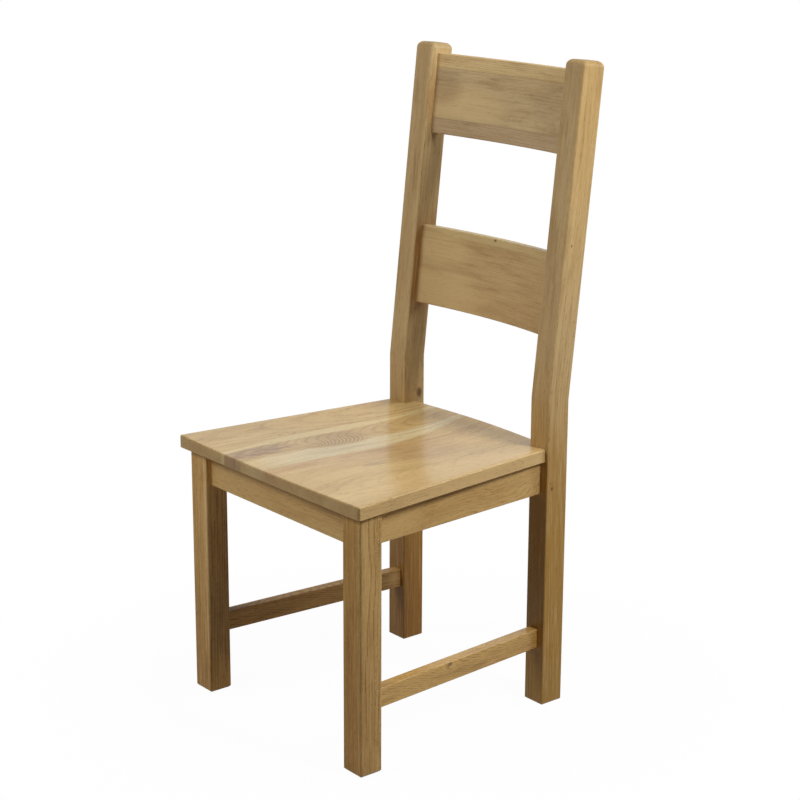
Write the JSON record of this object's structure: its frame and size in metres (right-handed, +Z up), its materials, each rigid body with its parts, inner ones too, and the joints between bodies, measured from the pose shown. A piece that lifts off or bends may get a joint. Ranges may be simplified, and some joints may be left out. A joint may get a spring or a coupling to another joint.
{
  "type": "ladder back chair",
  "caption": "Oak ladder back dining chair with square legs, raked back posts, wide bowed slats, a dished plank seat notched round the posts and low side stretchers.",
  "frame": {"origin": "on the floor, under the middle of the chair's bounding box", "axes": "+X to the sitter's left, +Y from the front of the seat to its back, +Z up from the floor"},
  "size_m": [0.4852, 0.5288, 1.0748],
  "materials": {
    "oak_legs": "satin",
    "oak_posts": "satin",
    "oak_rails": "satin",
    "oak_stretchers": "satin",
    "oak_slats": "satin",
    "oak_seat": "satin",
    "oak_blocks": "satin",
    "steel_screws": "satin"
  },
  "bodies": {
    "root": {"front_leg_left": "oak_legs", "front_leg_right": "oak_legs", "back_post_left": "oak_posts", "back_post_right": "oak_posts", "front_rail": "oak_rails", "back_rail": "oak_rails", "side_rail_left": "oak_rails", "side_rail_right": "oak_rails", "side_stretcher_left": "oak_stretchers", "side_stretcher_right": "oak_stretchers", "top_slat_upper_stave": "oak_slats", "top_slat_centre_stave": "oak_slats", "top_slat_lower_stave": "oak_slats", "middle_slat": "oak_slats", "seat_edge_strip": "oak_seat", "seat_board_left": "oak_seat", "seat_board_centre": "oak_seat", "seat_board_right": "oak_seat", "corner_block_front_left": "oak_blocks", "corner_block_front_right": "oak_blocks", "corner_block_rear_left": "oak_blocks", "corner_block_rear_right": "oak_blocks", "seat_screws": "steel_screws"}
  },
  "joints": []
}
